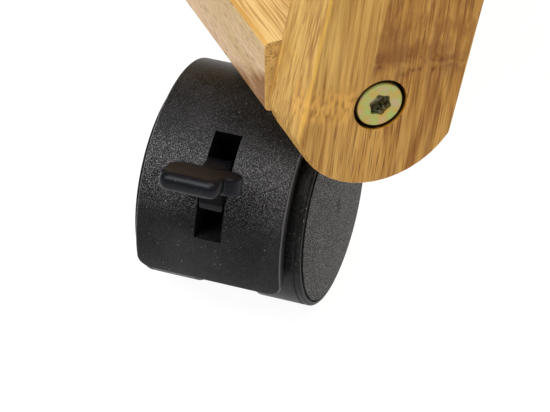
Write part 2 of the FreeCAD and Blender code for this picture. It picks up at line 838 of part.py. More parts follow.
def lever_block(back_middle, width, depths, heights):
    """Block centred across on a point, between two depths in front of it and two heights above it."""
    low = back_middle + Vector(-width / 2, -depths[1], heights[0])
    high = back_middle + Vector(width / 2, -depths[0], heights[1])
    return block(low, high)


def brake_lever():
    """Lever with its wings, thumb plate and lip, the plate tilted up to the front."""
    corner = axle_point + Vector(0, -lever_plate_reach, lever_plate_height)
    wing_middle = corner + X_AXIS * lever_wing_shift
    wings = lever_block(wing_middle, lever_wing_width, (0, lever_wing_depth), (-lever_wing_thickness, 0))
    wings = wings.makeFillet(lever_wing_radius, edges_along(wings, Z_AXIS))
    plate_middle = corner + X_AXIS * lever_plate_shift
    plate_depths = (lever_wing_radius, lever_plate_depth - lever_lip_radius)
    plate = lever_block(plate_middle, lever_plate_width, plate_depths, (-lever_plate_thickness, 0))
    lip_depths = (lever_plate_depth - lever_lip_depth, lever_plate_depth)
    lip = lever_block(plate_middle, lever_plate_width, lip_depths, (-lever_lip_height, 0))
    lip = lip.makeFillet(lever_lip_radius, lip.Edges)
    thumb = wings.fuse(plate).fuse(lip)
    thumb = turned(thumb, corner, X_AXIS, -lever_tilt)
    lever = lever_web().fuse(thumb).removeSplitter()
    return lever.cut(axle_rod(axle_diameter + 2 * running_fit, slot_width))


def castor_pieces(braked):
    pieces = {
        "stem": castor_stem(),
        "hood": castor_hood(braked),
        "axle": castor_axle(),
    }
    for side_name, side_x in (("left", -1), ("right", 1)):
        pieces[side_name + "_wheel"] = moved(castor_wheel(side_x), X_AXIS * wheel_end_play)
        pieces[side_name + "_wheel_cap"] = moved(castor_cap(side_x), X_AXIS * wheel_end_play)
    if braked:
        pieces["brake_lever"] = brake_lever()
    return pieces


def castor_place(side_x, side_y):
    return Vector(castor_x(side_x), side_y * lower_bolt_spread / 2, 0)


def castor_nodes():
    nodes = {}
    for name, side_x, side_y, angle, braked in castors:
        for piece_name, piece in castor_pieces(braked).items():
            swivelled = turned(piece, Vector(0, 0, 0), Z_AXIS, angle)
            nodes[name + "_" + piece_name] = moved(swivelled, castor_place(side_x, side_y))
    return nodes


def castor_sockets():
    sockets = []
    for name, side_x, side_y, angle, braked in castors:
        sockets.append(moved(castor_socket(), castor_place(side_x, side_y)))
    return sockets


def build_nodes():
    nodes = {}
    for end_name, side_x in (("left", -1), ("right", 1)):
        for face_name, side_y in (("front", -1), ("back", 1)):
            nodes[face_name + "_" + end_name + "_leg"] = leg(side_x, side_y)
        nodes[end_name + "_end_rail"] = end_rail(side_x)
        nodes["tray_" + end_name + "_end"] = tray_end(side_x)
    for level in bolt_rises:
        for face_name, side_y in (("front", -1), ("back", 1)):
            nodes[level + "_" + face_name + "_rail"] = long_rail(level, side_y)
    for level in ("lower", "middle"):
        nodes[level + "_shelf_slats"] = Part.makeCompound(shelf_slats(level))
        nodes[level + "_shelf_screws"] = Part.makeCompound(shelf_screws(level))
    nodes["tray_front_side"] = tray_side(-1)
    nodes["tray_back_side"] = tray_side(1)
    nodes["tray_base"] = tray_base()
    nodes["tray_cleats"] = Part.makeCompound(tray_cleats())
    nodes["tray_corner_screws"] = Part.makeCompound(tray_screws())
    nodes["frame_bolts"] = Part.makeCompound(at_each_bolt(frame_bolt(), bolt_head_recess))
    nodes["barrel_nuts"] = Part.makeCompound(at_each_bolt(barrel_nut(), leg_thickness + barrel_setback))
    nodes["end_rail_dowels"] = Part.makeCompound(end_rail_dowels())
    nodes["castor_sockets"] = Part.makeCompound(castor_sockets())
    nodes.update(castor_nodes())
    return nodes


def main():
    os.makedirs("parts", exist_ok=True)
    for name, shape in build_nodes().items():
        shape.exportStep("parts/" + name + ".step")


main()
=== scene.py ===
"""Looks of a bamboo rolling cart on hooded twin-wheel castors. Metres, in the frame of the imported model."""

import json
import math

import bpy
from mathutils import Matrix, Vector

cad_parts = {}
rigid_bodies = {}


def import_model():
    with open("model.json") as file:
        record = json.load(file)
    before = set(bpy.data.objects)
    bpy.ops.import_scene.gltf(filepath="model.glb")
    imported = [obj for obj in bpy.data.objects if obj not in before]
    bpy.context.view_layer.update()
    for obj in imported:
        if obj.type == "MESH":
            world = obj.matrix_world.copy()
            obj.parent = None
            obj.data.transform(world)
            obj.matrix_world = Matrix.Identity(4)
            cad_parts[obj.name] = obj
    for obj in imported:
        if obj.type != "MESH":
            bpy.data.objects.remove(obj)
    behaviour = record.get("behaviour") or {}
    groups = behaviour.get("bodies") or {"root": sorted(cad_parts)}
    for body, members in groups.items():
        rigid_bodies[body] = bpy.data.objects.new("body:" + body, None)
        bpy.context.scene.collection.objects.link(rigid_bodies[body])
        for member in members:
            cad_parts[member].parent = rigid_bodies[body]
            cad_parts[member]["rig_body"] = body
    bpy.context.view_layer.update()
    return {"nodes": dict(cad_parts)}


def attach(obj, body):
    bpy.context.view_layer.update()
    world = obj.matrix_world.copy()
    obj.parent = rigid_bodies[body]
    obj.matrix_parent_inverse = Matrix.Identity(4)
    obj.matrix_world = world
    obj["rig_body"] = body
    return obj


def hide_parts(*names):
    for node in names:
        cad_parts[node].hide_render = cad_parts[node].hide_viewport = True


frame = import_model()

nodes = frame["nodes"]

# Places that the materials share with the model, in millimetres and degrees
leg_lean = 12.0
leg_outer_x = 280.0
leg_thickness = 18.0
lower_bolt_y = 230.0
lower_bolt_z = 75.6
level_rise = 300.0
lower_rail_underside = 68.0
slat_pitch = 46.0
castor_turns = {"front_right": 46.9, "front_left": -18.0, "back_right": 162.0, "back_left": 226.9}

mm_per_metre = 1000
white = (1.0, 1.0, 1.0, 1.0)


def srgb(red, green, blue):
    """Linear colour from the usual 0 to 255 values."""
    linear = []
    for part in (red, green, blue):
        value = part / 255
        linear.append(value / 12.92 if value <= 0.04045 else ((value + 0.055) / 1.055) ** 2.4)
    return (*linear, 1.0)


class Shader:
    """A material whose nodes are added one call at a time."""

    def __init__(self, name):
        self.material = bpy.data.materials.new(name)
        self.material.use_nodes = True
        self.tree = self.material.node_tree
        self.surface = self.tree.nodes["Principled BSDF"]

    def put(self, kind, inputs, **settings):
        node = self.tree.nodes.new("ShaderNode" + kind)
        for key, value in settings.items():
            setattr(node, key, value)
        for key, value in inputs.items():
            self.plug(node, key, value)
        return node

    def plug(self, node, key, value):
        if isinstance(value, bpy.types.NodeSocket):
            self.tree.links.new(value, node.inputs[key])
        else:
            node.inputs[key].default_value = value

    def look(self, **values):
        """Sets inputs of the surface shader, written with _ for each space."""
        for key, value in values.items():
            self.plug(self.surface, key.replace("_", " "), value)

    def calc(self, operation, *values):
        return self.put("Math", dict(enumerate(values)), operation=operation).outputs[0]

    def times(self, value, *others):
        for other in others:
            value = self.calc("MULTIPLY", value, other)
        return value

    def step(self, value, low, high):
        """Smooth rise from 0 to 1 as the value goes from low to high, or a fall where low is the larger."""
        inputs = {"Value": value, "From Min": low, "From Max": high}
        return self.put("MapRange", inputs, interpolation_type="SMOOTHSTEP").outputs[0]

    def fall(self, value, low, high):
        """Smooth fall from 1 to 0 as the value goes from low to high."""
        return self.calc("SUBTRACT", 1.0, self.step(value, low, high))

    def between(self, value, low, high):
        """Straight map of 0 to 1 onto low to high."""
        return self.put("MapRange", {"Value": value, "To Min": low, "To Max": high}).outputs[0]

    def mix(self, factor, first, second, blend="MIX"):
        inputs = {0: factor, 6: first, 7: second}
        return self.put("Mix", inputs, data_type="RGBA", blend_type=blend).outputs[2]

    def tint(self, colour, where, amount, other):
        """The colour drawn toward another by an amount where the first value is 1."""
        return self.mix(self.times(where, amount), colour, other)

    def point(self, x=0.0, y=0.0, z=0.0):
        return self.put("CombineXYZ", {0: x, 1: y, 2: z}).outputs[0]

    def parts(self, vector):
        return self.put("SeparateXYZ", {0: vector}).outputs

    def stretch(self, vector, factors):
        return self.put("VectorMath", {0: vector, 1: factors}, operation="MULTIPLY").outputs[0]

    def shift(self, vector, offset):
        return self.put("VectorMath", {0: vector, 1: offset}, operation="ADD").outputs[0]

    def along(self, vector, axis):
        return self.put("VectorMath", {0: vector, 1: axis}, operation="DOT_PRODUCT").outputs["Value"]

    def noise(self, vector, factors, detail=1.0, roughness=0.5):
        """Noise with a number of waves per millimetre along each axis."""
        place = self.stretch(vector, factors)
        inputs = {"Vector": place, "Scale": 1.0, "Detail": detail, "Roughness": roughness}
        return self.put("TexNoise", inputs).outputs[0]

    def even_noise(self, vector, factor, detail=1.0, roughness=0.5):
        return self.noise(vector, (factor, factor, factor), detail, roughness)

    def cells(self, vector, factors, output="Distance"):
        inputs = {"Vector": self.stretch(vector, factors), "Scale": 1.0}
        return self.put("TexVoronoi", inputs).outputs[output]

    def chance(self, x, y, z):
        """A random value that belongs to three whole numbers."""
        return self.put("TexWhiteNoise", {"Vector": self.point(x, y, z)}).outputs["Value"]

    def object_mm(self):
        place = self.put("TexCoord", {}).outputs["Object"]
        return self.stretch(place, (mm_per_metre, mm_per_metre, mm_per_metre))

    def object_normal(self):
        return self.put("TexCoord", {}).outputs["Normal"]

    def relief(self, height, depth_mm, strength=1.0):
        inputs = {"Height": height, "Distance": depth_mm / mm_per_metre, "Strength": strength}
        return self.put("Bump", inputs).outputs[0]


# Bamboo. a, b and u are millimetres across the strips, through the layers and along the grain

def strip_indexes(shader, a, b, strip, layer, strip_start, board):
    """Whole numbers of the strip, the layer and the board, with the strips of each layer staggered."""
    calc = shader.calc
    layer_stagger = 0.37
    layer_index = calc("FLOOR", calc("DIVIDE", b, layer))
    strips = calc("DIVIDE", calc("SUBTRACT", a, strip_start), strip)
    strip_index = calc("FLOOR", calc("ADD", strips, shader.times(layer_index, layer_stagger)))
    board_index = calc("FLOOR", calc("DIVIDE", a, board)) if board else 0.0
    return strip_index, layer_index, board_index


def distance_from_joint(shader, u, indexes, first, step, layer_step):
    """Signed distance along the grain from the nearest joint of the cane."""
    calc = shader.calc
    joint_pitch = 250.0
    board_step = step * 1.7
    strip_index, layer_index, board_index = indexes
    place = calc("MULTIPLY_ADD", strip_index, step, first)
    place = calc("MULTIPLY_ADD", layer_index, layer_step, place)
    place = calc("MULTIPLY_ADD", board_index, board_step, place)
    turns = calc("DIVIDE", calc("SUBTRACT", u, place), joint_pitch)
    from_half = calc("SUBTRACT", calc("FRACT", calc("ADD", turns, 0.5)), 0.5)
    return shader.times(from_half, joint_pitch)


def wavy_grain(shader, own_place, u, from_joint, tilt):
    """The place with the fibres' lean and sway added, more of it near a joint, and their short wave."""
    calc = shader.calc
    long_sway = 2.4
    long_wave = calc("SUBTRACT", shader.noise(own_place, (0.05, 0.05, 0.012)), 0.5)
    short_wave = calc("SUBTRACT", shader.noise(own_place, (0.30, 0.30, 0.13), detail=2.0), 0.5)
    near_joint = shader.fall(calc("ABSOLUTE", from_joint), 0.5, 9.0)
    short_sway = shader.times(short_wave, shader.between(near_joint, 0.3, 2.4))
    sway = calc("MULTIPLY_ADD", long_wave, long_sway, short_sway)
    sway = calc("MULTIPLY_ADD", u, tilt, sway)
    return shader.shift(own_place, shader.point(sway)), short_wave


def joint_marks(shader, colour, place, distance, pale, dark, stain_amount):
    """Brown stains, a pale ridge and dark dots at the joints of the cane."""
    ridge_amount = 0.3
    dot_amount = 0.72
    stain_and_shade = shader.fall(distance, 0.3, 6.5)
    stain_and_shade = shader.times(stain_and_shade, shader.step(shader.noise(place, (0.22, 0.22, 0.16), detail=2.0), 0.34, 0.62))
    colour = shader.tint(colour, stain_and_shade, stain_amount, srgb(126, 74, 28))
    colour = shader.tint(colour, shader.fall(distance, 0.2, 0.9), ridge_amount, pale)
    dots = shader.fall(shader.cells(place, (0.60, 0.60, 0.50)), 0.16, 0.46)
    dots = shader.times(dots, shader.fall(distance, 1.4, 3.6))
    dots = shader.times(dots, shader.step(shader.even_noise(place, 0.30), 0.42, 0.52))
    return shader.tint(colour, dots, dot_amount, dark)


def bamboo(name, origin, across, through, along, strip=20.0, layer=6.25, strip_start=0.0, board=None,
           joint_first=0.0, joint_step=61.0, joint_layer_step=87.0, tilt=0.0, seed=0.0,
           pale=srgb(222, 180, 106), deep=srgb(176, 120, 52), dark=srgb(112, 64, 22),
           streaks=(0.40, 0.018), line_amount=0.5, dash_amount=0.6, stain_amount=0.55, extra=None):
    """Lacquered laminated bamboo: strips with their own tone, fibres, dark lines and dashes, joint marks.

    The joints move by a step from each strip to the next and by another from layer to layer.
    A board width gives each board of a row its own strips. streaks are counts per millimetre across and
    along the grain. extra adds to the colour of one kind of piece."""
    shader = Shader(name)
    calc = shader.calc
    from_origin = shader.shift(shader.object_mm(), [-part for part in origin])
    a, b, u = [shader.along(from_origin, axis) for axis in (across, through, along)]
    place = shader.point(a, b, u)
    indexes = strip_indexes(shader, a, b, strip, layer, strip_start, board)
    strip_index, layer_index, board_index = indexes
    seeded_strip = calc("ADD", strip_index, seed)
    tone = shader.chance(seeded_strip, layer_index, board_index)
    other_tone = shader.chance(seeded_strip, layer_index, calc("ADD", board_index, 0.5))
    from_joint = distance_from_joint(shader, u, indexes, joint_first, joint_step, joint_layer_step)
    jump = shader.point(x=shader.times(tone, 90.0), z=shader.times(other_tone, 400.0))
    grain, short_wave = wavy_grain(shader, shader.shift(place, jump), u, from_joint, tilt)

    def fibre_noise(across_count, along_count, detail=1.0, roughness=0.5):
        return shader.noise(grain, (across_count, across_count, along_count), detail, roughness)

    def swing(value, amount):
        return shader.times(calc("SUBTRACT", value, 0.5), amount)

    fibres = fibre_noise(1.2, 0.04, 2.0, 0.6)
    warmth = calc("ADD", swing(tone, 0.5), 0.5)
    warmth = calc("ADD", warmth, swing(fibre_noise(0.10, 0.006), 1.1))
    warmth = calc("ADD", warmth, swing(fibre_noise(*streaks, 2.0), 1.9))
    warmth = calc("ADD", warmth, swing(fibres, 1.5))
    warmth = calc("ADD", warmth, swing(fibre_noise(3.2, 0.10), 0.7))
    colour = shader.mix(shader.step(warmth, -0.15, 1.15), pale, deep)

    def marked(colour, value, edge, amount):
        """Dark marks where the value is above an edge that falls in clusters and in some strips."""
        lowered = calc("ADD", swing(fibre_noise(0.16, 0.014), 0.30), swing(tone, 0.18))
        low = calc("SUBTRACT", edge, lowered)
        high = calc("ADD", low, 0.10)
        share = shader.put("MapRange", {"Value": value, "From Min": low, "From Max": high}).outputs[0]
        return shader.tint(colour, share, amount, dark), share

    colour, lines = marked(colour, fibre_noise(2.1, 0.022), 0.61, line_amount)
    colour, dashes = marked(colour, fibre_noise(2.9, 0.090), 0.59, dash_amount)
    distance = calc("ABSOLUTE", calc("MULTIPLY_ADD", short_wave, 3.0, from_joint))
    colour = joint_marks(shader, colour, place, distance, pale, dark, stain_amount)
    if extra:
        colour = extra(shader, colour, a, b, u)

    height = calc("SUBTRACT", shader.times(fibres, 0.6), shader.times(lines, 0.5))
    height = calc("SUBTRACT", height, shader.times(dashes, 0.7))
    shader.look(
        Base_Color=colour,
        Roughness=shader.between(fibres, 0.50, 0.66),
        Normal=shader.relief(height, depth_mm=0.05, strength=0.5),
        Specular_IOR_Level=0.2,
    )
    return shader.material


# Legs. a runs toward the cart's back, b toward its right side, and u up the leg from the lower bolt

lean = math.radians(leg_lean)
bolt_pitch = level_rise / math.cos(lean)


def leg_shade(shader, colour, a, u, outer_face):
    """Darker outer face away from the leg's front edge, and darker again in the strip behind the bolts."""
    shade_colour = (0.74, 0.60, 0.44, 1.0)
    toward_middle = shader.times(shader.step(a, -17.5, -11.0), 0.52)
    back_strip = shader.step(a, -7.0, -1.5)
    back_amount = shader.between(shader.step(u, -6.0, 4.0), 0.26, 0.36)
    shade = shader.calc("MULTIPLY_ADD", back_strip, back_amount, toward_middle)
    return shader.mix(shader.times(shade, outer_face), colour, shade_colour, "MULTIPLY")


def leg_dashes(shader, colour, slanted, a, u):
    """Dark dashes in the back strip and at the foot, and soft pale and dark streaks everywhere."""
    dash = shader.step(shader.noise(slanted, (2.8, 2.8, 0.10)), 0.54, 0.63)
    dash = shader.times(dash, shader.step(shader.noise(slanted, (0.25, 0.25, 0.03)), 0.34, 0.56))
    at_foot = shader.times(shader.step(u, 2.0, -4.0), 0.7)
    dashed = shader.calc("MAXIMUM", shader.step(a, -5.0, -3.0), at_foot)
    colour = shader.tint(colour, shader.times(dash, dashed), 0.8, srgb(118, 66, 22))
    streak = shader.noise(slanted, (0.8, 0.8, 0.045))
    colour = shader.tint(colour, shader.step(streak, 0.50, 0.66), 0.13, srgb(236, 194, 116))
    return shader.tint(colour, shader.step(streak, 0.50, 0.34), 0.20, srgb(140, 90, 36))


def leg_joint(shader, colour, slanted, a, u, outer_face):
    """Pale bars beside the lower bolt, and brown blotches and a stained patch above it."""
    calc, step, times = shader.calc, shader.step, shader.times
    beside_bolt = times(shader.fall(calc("ABSOLUTE", u), 2.5, 6.0), step(a, -6.0, -8.0), outer_face)
    bars = step(shader.noise(slanted, (1.1, 1.1, 0.25)), 0.35, 0.60)
    colour = shader.tint(colour, beside_bolt, shader.between(bars, 0.15, 0.70), srgb(230, 174, 84))

    above_bolt = times(step(u, 6.0, 13.0), step(u, 34.0, 20.0), step(a, -7.0, -3.0), outer_face)
    blotches = step(shader.noise(slanted, (0.32, 0.32, 0.18), 3.0, 0.6), 0.42, 0.60)
    colour = shader.tint(colour, times(above_bolt, blotches), 0.42, srgb(124, 70, 24))

    patch_a = -0.5
    patch_u = 15.5
    patch_stretch = 2.0
    patch_wave = 5.0
    across = calc("SUBTRACT", a, patch_a)
    up = calc("DIVIDE", calc("SUBTRACT", u, patch_u), patch_stretch)
    reach = calc("SQRT", calc("ADD", times(across, across), times(up, up)))
    wave = calc("SUBTRACT", shader.noise(slanted, (0.5, 0.5, 0.16), detail=3.0), 0.5)
    ragged = calc("MULTIPLY_ADD", wave, patch_wave, reach)
    patch = times(shader.fall(ragged, 1.0, 5.0), outer_face)
    return shader.tint(colour, patch, 0.5, srgb(118, 68, 26))


def leg_edges(shader, colour, slanted, a):
    """Painted highlight: golden colour on the long rounded edges, uneven along them."""
    outward = shader.calc("ABSOLUTE", shader.parts(shader.object_normal())[0])
    edge = shader.calc("SUBTRACT", shader.step(outward, 0.20, 0.50), shader.step(outward, 0.90, 0.99))
    edge = shader.times(edge, shader.step(shader.calc("ABSOLUTE", a), 16.0, 17.5))
    uneven_highlight = shader.step(shader.noise(slanted, (0.1, 0.1, 0.06), detail=2.0), 0.3, 0.7)
    return shader.tint(colour, edge, shader.between(uneven_highlight, 0.15, 0.7), srgb(232, 184, 84))


def leg_holes(shader, colour, a, b, u):
    """Golden rims of the right legs' bolt holes, and painted shade that darkens their walls deeper below the
    leg's face.
    """
    calc, times = shader.calc, shader.times
    hole_reach = (7.0, 7.2)
    rim_depth = (0.10, 0.30)
    shaded_wall_depth = (0.45, 1.15)
    to_bolt = calc("WRAP", u, bolt_pitch / 2, -bolt_pitch / 2)
    reach = calc("SQRT", calc("ADD", times(a, a), times(to_bolt, to_bolt)))
    inside = shader.fall(reach, *hole_reach)
    from_middle = calc("ADD", b, leg_thickness / 2)
    depth = calc("SUBTRACT", leg_thickness / 2, calc("ABSOLUTE", from_middle))
    colour = shader.mix(times(inside, shader.step(depth, *rim_depth)), colour, srgb(172, 118, 34))
    # Painted shade: the hole walls turn nearly black deeper in the hole.
    return shader.tint(colour, times(inside, shader.step(depth, *shaded_wall_depth)), 0.96, srgb(40, 22, 8))


def leg_extra(shader, colour, a, b, u):
    slant = 0.09
    outer_face = shader.step(b, -7.0, -6.0)
    slanted = shader.point(shader.calc("MULTIPLY_ADD", u, slant, a), b, u)
    colour = leg_shade(shader, colour, a, u, outer_face)
    colour = leg_dashes(shader, colour, slanted, a, u)
    colour = leg_joint(shader, colour, slanted, a, u, outer_face)
    colour = leg_edges(shader, colour, slanted, a)
    return leg_holes(shader, colour, a, b, u)


def leg_material(face_name, side_y):
    """Bamboo whose grain leans with the two legs of the cart's front or back."""
    off_the_layer_edge = 0.01
    along = (0.0, -side_y * math.sin(lean), math.cos(lean))
    across = (0.0, math.cos(lean), side_y * math.sin(lean))
    origin = (leg_outer_x + off_the_layer_edge, side_y * lower_bolt_y, lower_bolt_z)
    return bamboo(
        "bamboo_leg_" + face_name, origin, across, (1.0, 0.0, 0.0), along,
        strip=24.0, strip_start=10.7, joint_first=51.8, joint_step=10.3, joint_layer_step=31.0,
        tilt=0.09, seed=3.0 + side_y,
        pale=srgb(224, 180, 98), deep=srgb(150, 98, 34), dark=srgb(112, 62, 20),
        streaks=(0.45, 0.035), line_amount=0.30, dash_amount=0.50, stain_amount=0.72, extra=leg_extra,
    )


# Rails. a runs toward the cart's back, b up from the lower rails' underside, and u along the rail

def rail_side(shader, a, b, u):
    """Pale brown side with glints and short dashes, and painted shade toward the ends and the underside,
    darker brown in streaks.
    """
    calc, step, times = shader.calc, shader.step, shader.times
    slant = 0.07
    slanted = shader.point(calc("MULTIPLY_ADD", u, slant, b), a, u)
    drift = shader.noise(slanted, (0.13, 0.02, 0.02), detail=2.0)
    side = shader.mix(step(drift, 0.35, 0.65), srgb(222, 188, 150), srgb(206, 176, 126))
    weave = shader.noise(slanted, (0.9, 0.02, 0.06), 2.0, 0.6)
    side = shader.tint(side, step(weave, 0.45, 0.75), 0.35, srgb(180, 140, 100))
    glint = shader.noise(shader.shift(slanted, (9, 0, 30)), (2.4, 0.02, 0.20))
    side = shader.tint(side, step(glint, 0.58, 0.70), 0.35, srgb(236, 214, 182))
    dash = step(shader.noise(slanted, (3.0, 0.02, 0.30)), 0.54, 0.64)
    dash = times(dash, step(shader.noise(slanted, (0.20, 0.02, 0.05)), 0.36, 0.56))
    side = shader.tint(side, dash, 0.55, srgb(118, 84, 54))

    # Painted shade: darker brown toward the underside, reaching higher near the ends beside the legs, in
    # streaks.
    shade_height_at_end = 10.5
    shade_slope = -0.42
    shade_wave = 7.0
    from_end = calc("SUBTRACT", leg_outer_x - leg_thickness, calc("ABSOLUTE", u))
    shade_height = calc("MULTIPLY_ADD", from_end, shade_slope, shade_height_at_end)
    wave = calc("SUBTRACT", shader.noise(slanted, (0.3, 0.02, 0.12), detail=3.0), 0.5)
    ragged = calc("MULTIPLY_ADD", wave, shade_wave, b)
    stain_and_shade = shader.fall(calc("SUBTRACT", ragged, shade_height), -3.0, 1.5)
    streaky = step(shader.noise(slanted, (1.2, 0.02, 0.10), detail=2.0), 0.3, 0.6)
    stain_and_shade = times(stain_and_shade, shader.between(streaky, 0.5, 1.0))
    return shader.tint(side, stain_and_shade, 0.95, srgb(136, 86, 38))


def rail_end(shader, b, place):
    """End grain with dots of fibre bundles, more of them toward the top."""
    ground = shader.step(shader.noise(place, (0.5, 0.5, 0.0), detail=2.0), 0.3, 0.7)
    end = shader.mix(ground, srgb(226, 188, 116), srgb(206, 166, 98))
    dots = shader.fall(shader.cells(place, (1.3, 1.3, 0.0)), 0.16, 0.42)
    height = shader.calc("WRAP", b, level_rise, 0.0)
    dots = shader.times(dots, shader.between(shader.step(height, 7.0, 13.0), 0.35, 1.0))
    return shader.tint(end, dots, 0.6, srgb(104, 68, 32))


def rail_extra(shader, colour, a, b, u):
    """Own grounds for a rail's sides and ends, lines on its top and underside, and golden edges that are a
    painted highlight.
    """
    step, times = shader.step, shader.times
    endways, sideways, upright = [
        shader.calc("ABSOLUTE", part) for part in shader.parts(shader.object_normal())
    ]
    across_face = (0.80, 0.95)
    place = shader.point(a, b, u)
    colour = shader.mix(step(sideways, *across_face), colour, rail_side(shader, a, b, u))
    lines = times(step(shader.noise(place, (1.9, 0.0, 0.045)), 0.49, 0.62), step(upright, *across_face))
    colour = shader.tint(colour, lines, 0.62, srgb(180, 122, 54))
    colour = shader.mix(step(endways, *across_face), colour, rail_end(shader, b, place))
    # Painted highlight: golden colour on the rounded long edges.
    edge = times(step(sideways, 0.28, 0.50), step(upright, 0.28, 0.55))
    edge_highlight_drift = step(shader.noise(place, (0.3, 0.3, 0.10), detail=2.0), 0.35, 0.65)
    edge_highlight_gold = shader.mix(edge_highlight_drift, srgb(196, 138, 44), srgb(228, 178, 84))
    return shader.tint(colour, edge, 0.7, edge_highlight_gold)


# Black plastic and plated steel

def dusted(shader, colour, place, dust):
    """Pale specks in a share of the cells, most of them in patches."""
    cell_counts = (1.7, 1.7, 1.7)
    cell_colour = shader.cells(place, cell_counts, "Color")
    cell_tone = shader.put("SeparateColor", {0: cell_colour}).outputs[0]
    near = shader.fall(shader.cells(place, cell_counts), 0.12, 0.26)
    patch = shader.step(shader.even_noise(place, 0.11, detail=2.0), 0.44, 0.60)
    specks = shader.times(shader.step(cell_tone, 1.0 - dust, 1.0), near, shader.between(patch, 0.2, 1.0))
    return shader.mix(specks, colour, srgb(186, 184, 168))


def nylon(name, dark, bright, grain_mm, roughness, specular, relief_mm, cover=(0.46, 0.66),
          glint_band_share=0.0, dust=0.0, shaded=None, axle=None, face_only=False, rim_highlight=0.0):
    """Moulded black plastic: bright flecks of a spark-eroded grain on a dark ground, and a little dust.

    glint_band_share is the share of the flecks that shows only on surfaces between upright and level: those
    flecks are painted glints, kept to where the lamps reflect.
    shaded gives two heights between which the piece is darker and dull.
    axle is the castor's own direction: face_only keeps the grain to the faces across it, and lip is the
    share of a pale painted highlight on the round edges between those faces and the rest."""
    shader = Shader(name)
    calc, step, times = shader.calc, shader.step, shader.times
    place = shader.object_mm()
    grain = shader.even_noise(place, 1 / grain_mm, 2.0, 0.6)
    cloud = shader.even_noise(place, 0.08, detail=3.0)
    facing_up = shader.parts(shader.object_normal())[2]
    # Painted glints: a share of the flecks is kept to surfaces between level and upright, where the lamps
    # reflect, and fewer on near-level ones.
    off_level = calc("SUBTRACT", 1.0, times(step(facing_up, 0.72, 0.92), 0.8))
    glint_band = times(step(facing_up, 0.25, 0.62), off_level)
    flecks = times(step(grain, *cover), shader.between(glint_band, 1.0 - glint_band_share, 1.0))
    facing_axle = calc("ABSOLUTE", shader.along(shader.object_normal(), axle)) if axle else 0.0
    face = step(facing_axle, 0.80, 0.97) if face_only else 1.0
    colour = shader.mix(times(flecks, face), dark, bright)
    colour = shader.tint(colour, step(cloud, 0.35, 0.75), 0.08, bright)
    # Painted highlight: a pale line on the round edges between the faces across the axle and the rest.
    if rim_highlight:
        edge = calc("SUBTRACT", step(facing_axle, 0.50, 0.70), step(facing_axle, 0.86, 0.97))
        colour = shader.tint(colour, edge, rim_highlight, srgb(124, 122, 120))
    if dust:
        colour = dusted(shader, colour, place, dust)
    cloud_roughness = 0.05
    rough = shader.between(cloud, roughness - cloud_roughness, roughness + cloud_roughness)
    if shaded:
        low, high = shaded
        height = shader.parts(place)[2]
        shade = calc("SUBTRACT", step(height, low, low + 0.8), step(height, high - 2.0, high))
        colour = shader.mix(shade, colour, srgb(1, 1, 1))
        rough = calc("MULTIPLY_ADD", shade, 0.5, rough)
    shader.look(
        Base_Color=colour,
        Roughness=rough,
        Normal=shader.relief(grain, relief_mm, face),
        Specular_IOR_Level=specular,
    )
    return shader.material


def plated(name, tints, roughness, patch_mm, socket_x=None):
    """Zinc-plated steel whose tint drifts in patches. A socket_x, the place along X where the bolts' sockets
    end, gives them painted shade, a darker olive, with pale painted glints mottled on their walls that face
    up."""
    shader = Shader(name)
    step, times = shader.step, shader.times
    place = shader.object_mm()
    patches = shader.even_noise(place, 1 / patch_mm, detail=2.0)
    other = shader.even_noise(shader.shift(place, (31, 17, 5)), 1.2 / patch_mm)
    scratches = shader.noise(place, (0.6, 5.0, 5.0), detail=2.0)
    colour = shader.mix(step(patches, 0.30, 0.70), tints[0], tints[1])
    colour = shader.mix(step(other, 0.50, 0.78), colour, tints[2])
    if socket_x:
        # Painted shade and painted glints in the sockets: darker olive inside, pale mottled glints on the
        # walls that face up.
        outward = shader.calc("ABSOLUTE", shader.parts(place)[0])
        sunk = shader.fall(outward, socket_x - 0.8, socket_x)
        facing_up = step(shader.parts(shader.object_normal())[2], -0.3, 0.6)
        mottled_glints = step(shader.even_noise(place, 1.3, 2.0, 0.6), 0.40, 0.62)
        mottled_glints = times(mottled_glints, shader.between(facing_up, 0.25, 1.0))
        socket_shade_and_glint_colour = shader.mix(mottled_glints, srgb(84, 76, 56), srgb(236, 238, 214))
        colour = shader.tint(colour, sunk, 0.8, socket_shade_and_glint_colour)
    shader.look(
        Base_Color=colour,
        Metallic=0.8,
        Roughness=shader.between(scratches, roughness - 0.08, roughness + 0.12),
        Normal=shader.relief(scratches, depth_mm=0.01),
    )
    return shader.material


# Materials by name, each bamboo with its directions across, through and along the grain

x_axis, y_axis, z_axis = (1, 0, 0), (0, 1, 0), (0, 0, 1)
centre = (0, 0, 0)

